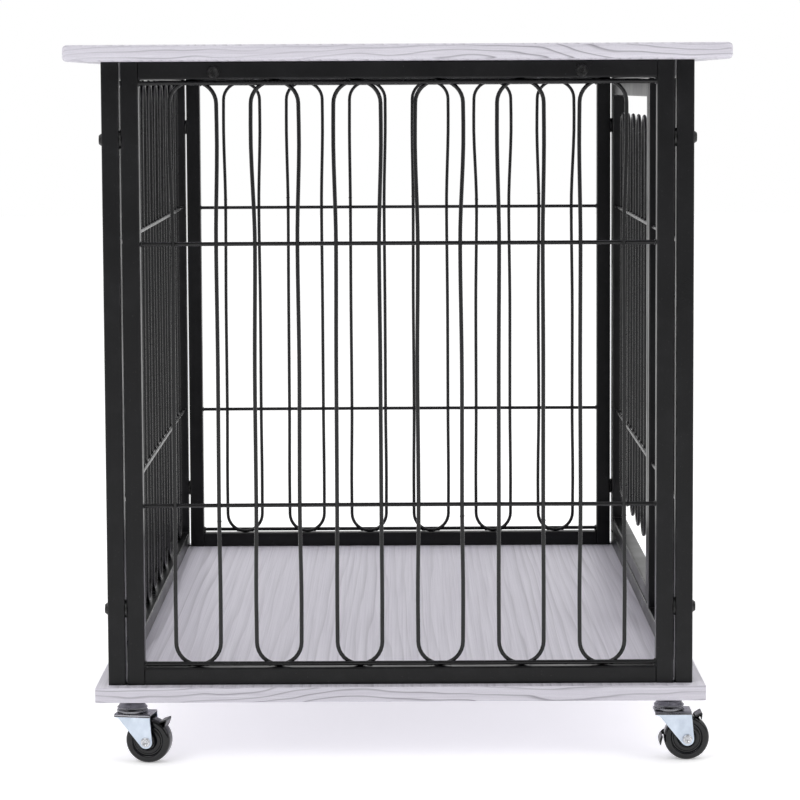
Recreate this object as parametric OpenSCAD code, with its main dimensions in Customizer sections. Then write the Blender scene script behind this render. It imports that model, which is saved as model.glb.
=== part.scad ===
// Wire dog crate built as a piece of furniture: a laminate top and base, four welded panels
// of square tube and wire loops, a side door and four swivel casters.
// Millimetres. The origin is on the floor under the middle of the crate, +Z is up,
// +Y runs along the length to the rear end and +X points to the side that has the door.

/* [Boards] */
// Length of the top board
top_l = 980; // [960:5:1040]
// Width of the top board
top_w = 640; // [630:2:700]
// Thickness of the top board
top_t = 16; // [12:1:25]
// Easing of the top board's edges
top_ease = 2.5; // [1:0.5:4]
// Length of the base board
base_l = 930; // [920:2:960]
// Width of the base board
base_w = 598; // [584:2:620]
// Thickness of the base board
base_t = 15; // [12:1:25]

/* [Frame] */
// Height of the welded panels
panel_h = 610; // [600:5:680]
// Length of the frame over the outer faces of the end panels
frame_l = 904; // [890:2:910]
// Width of the frame over the outer faces of the side panels
frame_w = 574; // [560:2:580]
// Outside size of the square tube
tube = 17; // [15:0.5:20]
// Wall of the square tube
tube_wall = 1.2; // [1:0.1:2]
// Gap between the end panels and the side panels
panel_gap = 2; // [1.5:0.5:3]

/* [Wire loops] */
// Diameter of the loop wire
wire_d = 4; // [3:0.2:5]
// Width of a loop from wire centre to wire centre
loop_w = 44; // [38:1:50]
// Gap between a post and the first loop, as a share of the gap between loops
edge_gap_share = 0.86; // [0.6:0.02:1.2]
// Diameter of the rods behind the loop ends
rod_d = 4.4; // [3:0.2:5]
// Height of the rods from the panel's top and bottom
rod_inset = 20.6; // [20:0.2:26]
// Height of the lower cross wire above the panel's bottom
cross_low = 176; // [150:2:200]
// Height of the upper cross wire above the panel's bottom
cross_high = 433; // [400:2:460]
// Number of loops in an end panel
end_loops = 6; // [4:1:7]
// Number of loops in the plain side panel
back_loops = 11; // [8:1:12]
// Number of loops in the fixed bay beside the door
bay_loops = 4; // [3:1:4]
// Number of loops in the door
door_loop_count = 6; // [4:1:7]

/* [Door] */
// Distance from the frame's front face to the near side of the middle post
post_setback = 319; // [300:1:340]
// Gap round the door
door_gap = 3; // [2:0.5:5]
// Height from the panel's bottom to the outer end of a door loop, below
door_loop_low = 71; // [60:1:90]
// Height from the panel's bottom to the outer end of a door loop, above
door_loop_high = 552; // [520:1:560]
// Height of the latch above the panel's bottom
latch_height = 305; // [240:5:380]
// Travel of the latch bolt
latch_travel = 20; // [15:1:20]

/* [Casters] */
// Height from the floor to the underside of the base board
caster_h = 62; // [60:1:66]
// Diameter of a caster wheel
wheel_d = 44.5; // [40:0.5:46]
// Width of a caster wheel
wheel_w = 17; // [14:0.5:18]
// Distance from a caster's swivel axis to its axle
trail = 17; // [15:0.5:18]
// Distance of a swivel axis from the base board's long edges
caster_side_inset = 34.5; // [28:0.5:36]
// Distance of a swivel axis from the base board's short edges
caster_end_inset = 21; // [19:1:26]
// Angle that the front left caster stands turned to
front_left_yaw = -10; // [-45:1:45]
// Angle that the front left brake pedal is tipped by
front_left_tip = -12; // [-20:1:0]

/* [Hidden] */
$fn = 48;

// Levels of the boards and panels
base_z = caster_h;
frame_z = base_z + base_t;
top_z = frame_z + panel_h;

// Planes of the panels, at the middle of their tubes
panel_y = (frame_l - tube) / 2;
panel_x = (frame_w - tube) / 2;
end_post_x = frame_w / 2 - tube - panel_gap - tube / 2;
end_open = 2 * end_post_x - tube;
side_open = frame_l - 2 * tube;

// Places along the door side, measured along Y
mid_post_y = -frame_l / 2 + post_setback + tube / 2;
bay_low = -side_open / 2;
bay_high = mid_post_y - tube / 2;
door_low = mid_post_y + tube / 2 + door_gap;
door_high = side_open / 2 - door_gap;
door_base = tube + door_gap;
door_top = panel_h - tube - door_gap;
door_open_low = door_low + tube;
door_open_high = door_high - tube;

// Wires: a weld sinks one wire slightly into the next
weld = 0.3;
rod_y = -(wire_d + rod_d) / 2 + weld;
cross_y = wire_d - weld;
loop_low = tube - weld;
loop_high = panel_h - tube + weld;

// Screws and bolts
bolt_d = 6;
bolt_hole_d = 6.4;
head_d = 12;
head_h = 3;
nut_bore_d = 6.1;
nut_hex_d = 11.55;
nut_h = 5;
rivet_body_d = 9;
rivet_l = 12;
rivet_flange_d = 18;
bolt_heights = [75, panel_h - 75];
top_bolt_x = 178;
top_bolt_drop = tube / 2 + 1.5;
base_bolt_y = 220;
bracket_t = 1.5;
bracket_w = 22;
bracket_leg = 27;
bracket_drop = 18;
screw_d = 3.6;
screw_l = 11;
screw_head_d = 8;
screw_head_h = 2;
screw_reach = 15;

// Hinges on the rear corner post
leaf_t = 1.5;
leaf_w = 14;
hinge_h = 50;
hinge_heights = [110, panel_h - 110];
pin_r = 2;
pin_bore_r = 2.05;
knuckle_r = 3.6;
knuckle_gap = 0.3;
knuckle_mid = 17.4;
hinge_x = frame_w / 2 + 4;
hinge_y = side_open / 2 - door_gap / 2;
knuckle_end = (hinge_h - knuckle_mid) / 2 - knuckle_gap;

// Latch on the door's near stile
latch_z = frame_z + latch_height;
latch_r = 4;
latch_bore_r = 4.06;
latch_x = frame_w / 2 + leaf_t + 6;
latch_plate_w = 50;
latch_plate_h = 30;
guide_w = 6;
guide_h = 14;
guide_out = 5.5;
latch_len = latch_plate_w + latch_travel;
latch_tip_y = door_low + 1;
handle_r = 2.5;
handle_y = door_low + 38;
handle_l = 11;
keeper_w = 11;
keeper_eye = 9.4;
keeper_wall = 2;

// Casters
caster_x = base_w / 2 - caster_side_inset;
caster_y = base_l / 2 - caster_end_inset;
axle_r = 3;
axle_bore_r = 3.06;
axle_z = wheel_d / 2;
fork_gap = 20.2;
fork_t = 1.8;
fork_half = fork_gap / 2 + fork_t;
crown_z = 47.5;
crown_t = 2;
crown_back = 14.6;
crown_front = 21.3;
boss_r = 6.5;
king_r = 4;
king_bore_r = 4.06;
race_z = crown_z + crown_t + 4.2;
race_r = 15;
stem_r = 4;
tee_r = 5;
tee_flange_r = 9;
tee_flange_t = 1.2;
rocker_t = 1;
rocker_out = fork_gap / 2 - 0.25;
axle_head_r = 4.9;
axle_head_h = 2;

BLACK = [0.10, 0.10, 0.11];
LAMINATE = [0.82, 0.80, 0.85];
ZINC = [0.75, 0.77, 0.80];
PLASTIC = [0.06, 0.06, 0.07];

// ---- placing ----

// A panel is drawn in its own frame: X along it, -Y out of the crate, Z up from its bottom.
module at_front() {
  translate([0, -panel_y, frame_z]) children();
}

module at_rear() {
  translate([0, panel_y, frame_z]) rotate([0, 0, 180]) children();
}

module at_back() {
  translate([-panel_x, 0, frame_z]) rotate([0, 0, -90]) children();
}

module at_door() {
  translate([panel_x, 0, frame_z]) rotate([0, 0, 90]) children();
}

module at_caster(side_x, side_y, yaw = 0) {
  translate([side_x * caster_x, side_y * caster_y, 0]) rotate([0, 0, yaw]) children();
}

// ---- tube, wire and fastener shapes ----

module tube_up(h) {
  inner = tube - 2 * tube_wall;
  difference() {
    translate([-tube / 2, -tube / 2, 0]) cube([tube, tube, h]);
    translate([-inner / 2, -inner / 2, -1]) cube([inner, inner, h + 2]);
  }
}

module tube_along(low, high) {
  translate([low, 0, tube / 2]) rotate([0, 90, 0]) tube_up(high - low);
}

module cross_hole(d, depth) {
  rotate([90, 0, 0]) cylinder(d = d, h = depth, center = true);
}

module wire_along(low, high, d) {
  translate([low, 0, 0]) rotate([0, 90, 0]) cylinder(d = d, h = high - low);
}

// A closed loop of wire with round ends, low and high being its outer ends
module wire_loop(low, high) {
  r = loop_w / 2;
  low_z = low + wire_d / 2 + r;
  high_z = high - wire_d / 2 - r;
  for (side = [-1, 1])
    translate([side * r, 0, low_z]) cylinder(d = wire_d, h = high_z - low_z);
  translate([0, 0, high_z])
    rotate([90, 0, 0]) rotate_extrude(angle = 180) translate([r, 0]) circle(d = wire_d);
  translate([0, 0, low_z])
    rotate([-90, 0, 0]) rotate_extrude(angle = 180) translate([r, 0]) circle(d = wire_d);
}

// Evenly spaced loops across an opening, a little closer to the posts than to each other
module loop_row(open_low, open_high, count, low, high) {
  gap = (open_high - open_low - count * loop_w) / (count - 1 + 2 * edge_gap_share);
  first = open_low + gap * edge_gap_share + loop_w / 2;
  for (i = [0 : count - 1])
    translate([first + i * (gap + loop_w), 0, 0]) wire_loop(low, high);
}

module rod_pair(low, high) {
  for (z = [rod_inset, panel_h - rod_inset])
    translate([0, rod_y, z]) wire_along(low, high, rod_d);
}

module cross_pair(low, high) {
  for (z = [cross_low, cross_high])
    translate([0, cross_y, z]) wire_along(low, high, wire_d);
}

// A button-head bolt whose head sits on the plane Z = 0 and whose shank runs to -Z
module button_bolt(length) {
  socket_af = 4;
  difference() {
    union() {
      rotate_extrude()
        polygon([[0, 0], [head_d / 2, 0], [head_d / 2, 0.8], [head_d / 2 - 1.6, head_h], [0, head_h]]);
      translate([0, 0, -length]) cylinder(d = bolt_d, h = length + 0.5);
    }
    translate([0, 0, head_h - 2]) cylinder(d = socket_af / cos(30), h = 3, $fn = 6);
  }
}

module hex_nut() {
  difference() {
    cylinder(d = nut_hex_d, h = nut_h, $fn = 6);
    translate([0, 0, -1]) cylinder(d = nut_bore_d, h = nut_h + 2);
  }
}

// ---- boards ----

// A flat board with every edge eased by c
module eased_board(l, w, t, c) {
  hull() {
    translate([-w / 2 + c, -l / 2 + c, 0]) cube([w - 2 * c, l - 2 * c, t]);
    translate([-w / 2, -l / 2 + c, c]) cube([w, l - 2 * c, t - 2 * c]);
    translate([-w / 2 + c, -l / 2, c]) cube([w - 2 * c, l, t - 2 * c]);
  }
}

module top_board() {
  color(LAMINATE)
    translate([0, 0, top_z])
      difference() {
        eased_board(top_l, top_w, top_t, top_ease);
        for (x = [-1, 1])
          for (y = [-1, 1])
            translate([x * top_bolt_x, y * (panel_y - tube / 2 - screw_reach), -1])
              cylinder(d = screw_d - 0.2, h = screw_l + 1);
      }
}

module base_bolt_places() {
  for (x = [-1, 1])
    for (y = [-1, 1]) {
      translate([x * top_bolt_x, y * panel_y, 0]) children();
      translate([x * panel_x, y * base_bolt_y, 0]) children();
    }
}

module base_board() {
  color(LAMINATE)
    translate([0, 0, base_z])
      difference() {
        translate([-base_w / 2, -base_l / 2, 0]) cube([base_w, base_l, base_t]);
        base_bolt_places() translate([0, 0, -1]) cylinder(d = bolt_hole_d, h = base_t + 2);
        for (x = [-1, 1])
          for (y = [-1, 1])
            at_caster(x, y) {
              translate([0, 0, -1]) cylinder(r = tee_r, h = base_t + 2);
              translate([0, 0, base_t - tee_flange_t]) cylinder(r = tee_flange_r, h = 2);
            }
      }
}

// ---- end panels ----

module end_posts() {
  for (side = [-1, 1])
    translate([side * end_post_x, 0, 0])
      difference() {
        tube_up(panel_h);
        for (z = bolt_heights)
          translate([side * (tube - tube_wall) / 2, 0, z])
            rotate([0, 90, 0]) cylinder(d = rivet_body_d, h = 3 * tube_wall, center = true);
      }
}

module end_rails() {
  difference() {
    tube_along(-end_open / 2, end_open / 2);
    for (x = [-1, 1])
      translate([x * top_bolt_x, 0, -1]) cylinder(d = bolt_hole_d, h = 1 + 2 * tube_wall);
  }
  difference() {
    translate([0, 0, panel_h - tube]) tube_along(-end_open / 2, end_open / 2);
    for (x = [-1, 1])
      translate([x * top_bolt_x, 0, panel_h - top_bolt_drop]) cross_hole(bolt_hole_d, 2 * tube);
  }
}

module front_end_posts() {
  color(BLACK) at_front() end_posts();
}

module front_end_rails() {
  color(BLACK) at_front() end_rails();
}

module front_end_rods() {
  color(BLACK) at_front() rod_pair(-end_open / 2, end_open / 2);
}

module front_end_loops() {
  color(BLACK) at_front() loop_row(-end_open / 2, end_open / 2, end_loops, loop_low, loop_high);
}

module front_end_cross_wires() {
  color(BLACK) at_front() cross_pair(-end_open / 2, end_open / 2);
}

module rear_end_posts() {
  color(BLACK) at_rear() end_posts();
}

module rear_end_rails() {
  color(BLACK) at_rear() end_rails();
}

module rear_end_rods() {
  color(BLACK) at_rear() rod_pair(-end_open / 2, end_open / 2);
}

module rear_end_loops() {
  color(BLACK) at_rear() loop_row(-end_open / 2, end_open / 2, end_loops, loop_low, loop_high);
}

module rear_end_cross_wires() {
  color(BLACK) at_rear() cross_pair(-end_open / 2, end_open / 2);
}

// ---- side panels ----

module side_corner_posts() {
  for (side = [-1, 1])
    translate([side * panel_y, 0, 0])
      difference() {
        tube_up(panel_h);
        for (z = bolt_heights) translate([0, 0, z]) cross_hole(bolt_hole_d, 2 * tube);
      }
}

module side_rails() {
  difference() {
    tube_along(-side_open / 2, side_open / 2);
    for (y = [-1, 1])
      translate([y * base_bolt_y, 0, -1]) cylinder(d = bolt_hole_d, h = 1 + 2 * tube_wall);
  }
  translate([0, 0, panel_h - tube]) tube_along(-side_open / 2, side_open / 2);
}

module back_side_posts() {
  color(BLACK) at_back() side_corner_posts();
}

module back_side_rails() {
  color(BLACK) at_back() side_rails();
}

module back_side_rods() {
  color(BLACK) at_back() rod_pair(-side_open / 2, side_open / 2);
}

module back_side_loops() {
  color(BLACK) at_back() loop_row(-side_open / 2, side_open / 2, back_loops, loop_low, loop_high);
}

module back_side_cross_wires() {
  color(BLACK) at_back() cross_pair(-side_open / 2, side_open / 2);
}

module door_side_posts() {
  color(BLACK)
    at_door() {
      side_corner_posts();
      translate([mid_post_y, 0, tube]) tube_up(panel_h - 2 * tube);
    }
}

module door_side_rails() {
  color(BLACK) at_door() side_rails();
}

module door_side_rods() {
  color(BLACK) at_door() rod_pair(bay_low, bay_high);
}

module door_side_loops() {
  color(BLACK) at_door() loop_row(bay_low, bay_high, bay_loops, loop_low, loop_high);
}

module door_side_cross_wires() {
  color(BLACK) at_door() cross_pair(bay_low, bay_high);
}

// ---- door ----

module door_stiles() {
  color(BLACK)
    at_door()
      for (y = [door_low + tube / 2, door_high - tube / 2])
        translate([y, 0, door_base]) tube_up(door_top - door_base);
}

module door_rails() {
  color(BLACK)
    at_door()
      for (z = [door_base, door_top - tube])
        translate([0, 0, z]) tube_along(door_open_low, door_open_high);
}

module door_loops() {
  color(BLACK)
    at_door() loop_row(door_open_low, door_open_high, door_loop_count, door_loop_low, door_loop_high);
}

module door_cross_wires() {
  color(BLACK) at_door() cross_pair(door_open_low, door_open_high);
}

// ---- hinges ----

// A knuckle and the strip that ties it to its leaf; side is +1 on the post and -1 on the door
module knuckle(side, low, high) {
  difference() {
    union() {
      translate([0, 0, low]) cylinder(r = knuckle_r, h = high - low);
      translate([-4, side > 0 ? 0 : -6, low]) cube([leaf_t, 6, high - low]);
    }
    translate([0, 0, low - 1]) cylinder(r = pin_bore_r, h = high - low + 2);
  }
}

module leaf_plate(side) {
  near = knuckle_r + 0.8;
  translate([-4, side > 0 ? near : -near - leaf_w + 2, 0]) cube([leaf_t, leaf_w - 2, hinge_h]);
}

module at_hinges() {
  for (z = hinge_heights)
    translate([hinge_x, hinge_y, frame_z + z - hinge_h / 2]) children();
}

module hinge_frame_leaves() {
  color(BLACK)
    at_hinges() {
      leaf_plate(1);
      knuckle(1, 0, knuckle_end);
      knuckle(1, hinge_h - knuckle_end, hinge_h);
    }
}

module hinge_door_leaves() {
  color(BLACK)
    at_hinges() {
      leaf_plate(-1);
      knuckle(-1, knuckle_end + knuckle_gap, hinge_h - knuckle_end - knuckle_gap);
    }
}

module hinge_pins() {
  color(ZINC)
    at_hinges() {
      translate([0, 0, -1]) cylinder(r = pin_r, h = hinge_h + 1.5);
      translate([0, 0, hinge_h]) cylinder(r = knuckle_r - 0.4, h = 1.6);
    }
}

// ---- latch ----

// A bored block that carries the latch bolt, y being its low end along the bolt
module bolt_guide(y) {
  difference() {
    translate([frame_w / 2 + leaf_t - 0.2, y, latch_z - guide_h / 2])
      cube([latch_x + guide_out - frame_w / 2 - leaf_t + 0.2, guide_w, guide_h]);
    translate([latch_x, y - 1, latch_z])
      rotate([-90, 0, 0]) cylinder(r = latch_bore_r, h = guide_w + 2);
  }
}

module latch_plate() {
  color(BLACK) {
    translate([frame_w / 2, door_low + 1, latch_z - latch_plate_h / 2])
      cube([leaf_t, latch_plate_w, latch_plate_h]);
    bolt_guide(door_low + 3);
    bolt_guide(door_low + latch_plate_w - guide_w);
  }
}

module latch_bolt() {
  color(ZINC) {
    translate([latch_x, latch_tip_y, latch_z]) rotate([-90, 0, 0]) cylinder(r = latch_r, h = latch_len);
    translate([latch_x, handle_y, latch_z]) rotate([0, 90, 0]) cylinder(r = handle_r, h = handle_l);
    translate([latch_x + handle_l, handle_y, latch_z]) sphere(r = 4.2);
  }
}

// A plate on the middle post with a square strap over it, whose eye takes the bolt's tip
module latch_keeper() {
  strap_out = latch_x + keeper_eye / 2;
  low_y = mid_post_y - keeper_w / 2;
  color(BLACK) {
    translate([frame_w / 2, mid_post_y - tube / 2 + 1, latch_z - latch_plate_h / 2])
      cube([leaf_t, tube - 2, latch_plate_h]);
    for (z = [-keeper_eye / 2 - keeper_wall, keeper_eye / 2])
      translate([frame_w / 2 + leaf_t - 0.2, low_y, latch_z + z])
        cube([strap_out - frame_w / 2 - leaf_t + 0.4, keeper_w, keeper_wall]);
    translate([strap_out, low_y, latch_z - keeper_eye / 2 - keeper_wall])
      cube([keeper_wall, keeper_w, keeper_eye + 2 * keeper_wall]);
  }
}

// ---- top brackets ----

module at_top_brackets() {
  for (x = [-1, 1]) {
    translate([x * top_bolt_x, -panel_y + tube / 2, top_z]) children();
    translate([x * top_bolt_x, panel_y - tube / 2, top_z]) rotate([0, 0, 180]) children();
  }
}

// An angle bracket: one leg on the rail's inner face, the other under the top board
module top_brackets() {
  color(BLACK)
    at_top_brackets()
      difference() {
        union() {
          translate([-bracket_w / 2, 0, -bracket_drop]) cube([bracket_w, bracket_t, bracket_drop]);
          translate([-bracket_w / 2, 0, -bracket_t]) cube([bracket_w, bracket_leg, bracket_t]);
        }
        translate([0, 0, -top_bolt_drop]) cross_hole(bolt_hole_d, 2 * tube);
        translate([0, screw_reach, -2 * bracket_t]) cylinder(d = screw_d + 0.4, h = 4 * bracket_t);
      }
}

module top_bracket_bolts() {
  color(BLACK)
    at_top_brackets()
      translate([0, -tube, -top_bolt_drop])
        rotate([90, 0, 0]) button_bolt(tube + bracket_t + nut_h + 2);
}

module top_bracket_nuts() {
  color(ZINC)
    at_top_brackets() translate([0, bracket_t, -top_bolt_drop]) rotate([-90, 0, 0]) hex_nut();
}

module top_bracket_screws() {
  color(ZINC)
    at_top_brackets()
      translate([0, screw_reach, -bracket_t]) {
        translate([0, 0, -screw_head_h]) cylinder(d = screw_head_d, h = screw_head_h);
        cylinder(d = screw_d, h = screw_l);
      }
}

// ---- fasteners of the frame ----

module at_corner_bolts() {
  for (x = [-1, 1])
    for (y = [-1, 1])
      for (z = bolt_heights)
        translate([x * frame_w / 2, y * panel_y, frame_z + z]) rotate([0, x * 90, 0]) children();
}

module corner_bolts() {
  color(BLACK) at_corner_bolts() button_bolt(tube + panel_gap + rivet_l - 3);
}

// A rivet nut in an end post; its wide flange holds the two panels apart
module corner_rivet_nuts() {
  color(ZINC)
    at_corner_bolts()
      translate([0, 0, -tube - panel_gap])
        difference() {
          union() {
            cylinder(d = rivet_flange_d, h = panel_gap);
            translate([0, 0, -rivet_l]) cylinder(d = rivet_body_d - 0.04, h = rivet_l + 0.5);
          }
          translate([0, 0, -rivet_l - 1]) cylinder(d = nut_bore_d, h = rivet_l + panel_gap + 2);
        }
}

module base_bolts() {
  color(ZINC)
    base_bolt_places()
      translate([0, 0, base_z]) rotate([180, 0, 0]) button_bolt(base_t + tube_wall + nut_h + 2);
}

module base_weld_nuts() {
  color(ZINC) base_bolt_places() translate([0, 0, frame_z + tube_wall]) hex_nut();
}

module caster_tee_nuts() {
  color(ZINC)
    for (x = [-1, 1])
      for (y = [-1, 1])
        at_caster(x, y)
          difference() {
            union() {
              translate([0, 0, base_z + 1]) cylinder(r = tee_r - 0.02, h = base_t - 1.5);
              translate([0, 0, frame_z - tee_flange_t]) cylinder(r = tee_flange_r - 0.2, h = tee_flange_t);
            }
            translate([0, 0, base_z]) cylinder(r = stem_r + 0.05, h = base_t + 1);
          }
}

// ---- casters ----

// The fixed part: threaded stem, dished upper race and the riveted kingpin below it
module caster_mount() {
  color(PLASTIC)
    rotate_extrude(angle = 360)
      polygon([
        [0, crown_z - 3.2], [6, crown_z - 3.2], [6, crown_z - 0.4], [king_r, crown_z - 0.4],
        [king_r, race_z + 1.4], [race_r - 4, race_z + 1.4], [race_r - 2, race_z], [race_r, race_z],
        [race_r, race_z + 1.4], [race_r - 2.4, race_z + 4.2], [7, race_z + 6.4], [7, base_z],
        [stem_r, base_z], [stem_r, frame_z - 2], [stem_r - 1, frame_z - 1], [0, frame_z - 1]
      ]);
}

// One leg of the fork, seen from the side: wide under the crown and round at the axle
module fork_leg_outline() {
  translate([trail, axle_z]) circle(r = boss_r);
  polygon([
    [-crown_back, crown_z + 0.5], [-crown_back, crown_z - 1.5], [-10.2, crown_z - 2.3],
    [trail + boss_r * cos(219), axle_z + boss_r * sin(219)],
    [trail + boss_r * cos(5), axle_z + boss_r * sin(5)],
    [crown_front, crown_z - 2.5], [crown_front, crown_z + 0.5]
  ]);
}

module caster_fork() {
  color(ZINC)
    difference() {
      union() {
        for (y = [-fork_half, fork_gap / 2])
          translate([0, y + fork_t, 0]) rotate([90, 0, 0]) linear_extrude(fork_t) fork_leg_outline();
        translate([-crown_back, -fork_half, crown_z])
          cube([crown_back + crown_front, 2 * fork_half, crown_t]);
        translate([0, 0, crown_z + crown_t - 0.5]) cylinder(r = race_r + 0.3, h = 3);
      }
      translate([0, 0, crown_z - 1]) cylinder(r = king_bore_r, h = 10);
      translate([trail, 0, axle_z]) rotate([90, 0, 0]) cylinder(r = axle_bore_r, h = 40, center = true);
    }
}

// The wheel's half section: a crowned tread, two ring grooves in each face and a hub
module caster_wheel() {
  r = wheel_d / 2;
  half = wheel_w / 2;
  tread_ease = 1.5;
  hub_half = half + 0.2;
  color(PLASTIC)
    translate([trail, 0, axle_z])
      rotate([90, 0, 0])
        difference() {
          union() {
            rotate_extrude($fn = 96)
              polygon([
                [2, -half], [r - tread_ease, -half], [r, -half + tread_ease],
                [r, half - tread_ease], [r - tread_ease, half], [2, half]
              ]);
            translate([0, 0, -hub_half]) cylinder(r = 6, h = 2 * hub_half);
          }
          for (side = [-1, 1])
            for (groove_r = [9, 15])
              translate([0, 0, side * half])
                rotate_extrude($fn = 96) translate([groove_r, -1]) square([2, 2]);
          cylinder(r = axle_bore_r, h = 40, center = true);
        }
}

// A riveted axle with a round head on each fork leg
module caster_axle() {
  color(ZINC)
    translate([trail, 0, axle_z])
      rotate([90, 0, 0]) {
        cylinder(r = axle_r, h = 2 * fork_half + 1, center = true);
        for (side = [0, 1])
          mirror([0, 0, side])
            translate([0, 0, fork_half])
              rotate_extrude()
                polygon([
                  [0, 0], [axle_head_r, 0], [axle_head_r, 0.7],
                  [3.6, axle_head_h], [0, axle_head_h]
                ]);
      }
}

// The brake rocker's plate, about the axle: a hub, an arm up to the pedal and one across to the claw
module rocker_plate_outline(claw) {
  circle(r = boss_r - 0.5);
  polygon([[-3, 5], [3, -5], [11, 10], [14.9, 18.4], [15.4, 24.6], [14.4, 25.6], [8.2, 21.9]]);
  if (claw)
    polygon([
      [0, -5.5], [0, 5.5], [-12, 6], [-22, 5.5], [-25.3, 2], [-27, -2.5], [-26.4, -7.2],
      [-25.3, -6.9], [-23.7, -3], [-22.9, 0.5], [-12, -3]
    ]);
}

// What reaches forward over the tread: the pedal's two folds and the claw
module rocker_folds_outline(claw) {
  polygon([[8.2, 21.9], [8.9, 20.9], [14.9, 24.4], [14.4, 25.6]]);
  polygon([[13.9, 18.7], [14.9, 18.4], [15.4, 24.6], [14.4, 24.9]]);
  if (claw)
    polygon([
      [-24.3, 3.2], [-25.5, 1.6], [-27, -2.5], [-26.4, -7.2], [-25.3, -6.9], [-24.6, -3], [-23.4, 1.2]
    ]);
}

// A plate behind the wheel with its folds; turn is how far it is tipped about the axle
module caster_brake(turn = 0, claw = true) {
  color(PLASTIC)
    translate([trail, 0, axle_z])
      difference() {
        translate([0, rocker_out, 0])
          rotate([90, 0, 0])
            rotate([0, 0, turn]) {
              linear_extrude(rocker_t) rocker_plate_outline(claw);
              linear_extrude(2 * rocker_out) rocker_folds_outline(claw);
            }
        rotate([90, 0, 0]) cylinder(r = axle_bore_r, h = 40, center = true);
      }
}

module front_left_caster_mount() {
  at_caster(-1, -1) caster_mount();
}

module front_left_caster_fork() {
  at_caster(-1, -1, front_left_yaw) caster_fork();
}

module front_left_caster_wheel() {
  at_caster(-1, -1, front_left_yaw) caster_wheel();
}

module front_left_caster_axle() {
  at_caster(-1, -1, front_left_yaw) caster_axle();
}

module front_left_caster_brake() {
  at_caster(-1, -1, front_left_yaw) caster_brake(front_left_tip, false);
}

module front_right_caster_mount() {
  at_caster(1, -1) caster_mount();
}

module front_right_caster_fork() {
  at_caster(1, -1) caster_fork();
}

module front_right_caster_wheel() {
  at_caster(1, -1) caster_wheel();
}

module front_right_caster_axle() {
  at_caster(1, -1) caster_axle();
}

module front_right_caster_brake() {
  at_caster(1, -1) caster_brake();
}

module rear_left_caster_mount() {
  at_caster(-1, 1) caster_mount();
}

module rear_left_caster_fork() {
  at_caster(-1, 1) caster_fork();
}

module rear_left_caster_wheel() {
  at_caster(-1, 1) caster_wheel();
}

module rear_left_caster_axle() {
  at_caster(-1, 1) caster_axle();
}

module rear_right_caster_mount() {
  at_caster(1, 1) caster_mount();
}

module rear_right_caster_fork() {
  at_caster(1, 1) caster_fork();
}

module rear_right_caster_wheel() {
  at_caster(1, 1) caster_wheel();
}

module rear_right_caster_axle() {
  at_caster(1, 1) caster_axle();
}

top_board();
base_board();
front_end_posts();
front_end_rails();
front_end_rods();
front_end_loops();
front_end_cross_wires();
rear_end_posts();
rear_end_rails();
rear_end_rods();
rear_end_loops();
rear_end_cross_wires();
back_side_posts();
back_side_rails();
back_side_rods();
back_side_loops();
back_side_cross_wires();
door_side_posts();
door_side_rails();
door_side_rods();
door_side_loops();
door_side_cross_wires();
door_stiles();
door_rails();
door_loops();
door_cross_wires();
hinge_frame_leaves();
hinge_door_leaves();
hinge_pins();
latch_plate();
latch_bolt();
latch_keeper();
top_brackets();
top_bracket_bolts();
top_bracket_nuts();
top_bracket_screws();
corner_bolts();
corner_rivet_nuts();
base_bolts();
base_weld_nuts();
caster_tee_nuts();
front_left_caster_mount();
front_left_caster_fork();
front_left_caster_wheel();
front_left_caster_axle();
front_left_caster_brake();
front_right_caster_mount();
front_right_caster_fork();
front_right_caster_wheel();
front_right_caster_axle();
front_right_caster_brake();
rear_left_caster_mount();
rear_left_caster_fork();
rear_left_caster_wheel();
rear_left_caster_axle();
rear_right_caster_mount();
rear_right_caster_fork();
rear_right_caster_wheel();
rear_right_caster_axle();
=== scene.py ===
import math
import random

import bmesh
import bpy
from mathutils import Matrix, Vector


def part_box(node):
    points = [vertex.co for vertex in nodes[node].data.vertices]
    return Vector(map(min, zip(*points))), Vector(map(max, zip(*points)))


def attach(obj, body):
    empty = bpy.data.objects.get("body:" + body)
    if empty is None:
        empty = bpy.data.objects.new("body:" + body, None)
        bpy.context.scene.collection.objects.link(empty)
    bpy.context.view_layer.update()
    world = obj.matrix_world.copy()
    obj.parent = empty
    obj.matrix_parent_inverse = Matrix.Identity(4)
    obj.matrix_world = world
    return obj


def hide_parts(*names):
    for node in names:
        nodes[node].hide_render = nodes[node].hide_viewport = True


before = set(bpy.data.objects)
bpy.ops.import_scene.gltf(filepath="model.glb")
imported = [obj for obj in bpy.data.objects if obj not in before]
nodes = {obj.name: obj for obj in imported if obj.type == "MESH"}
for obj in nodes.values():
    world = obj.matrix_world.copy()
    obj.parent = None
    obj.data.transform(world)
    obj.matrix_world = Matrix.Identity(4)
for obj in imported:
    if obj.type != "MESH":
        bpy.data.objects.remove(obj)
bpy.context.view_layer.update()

random.seed(804)
MM = 0.001

# ---- sizes, read from the frame ----


def size(node):
    low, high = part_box(node)
    return high - low


def middle(node):
    low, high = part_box(node)
    return (low + high) / 2


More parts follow.
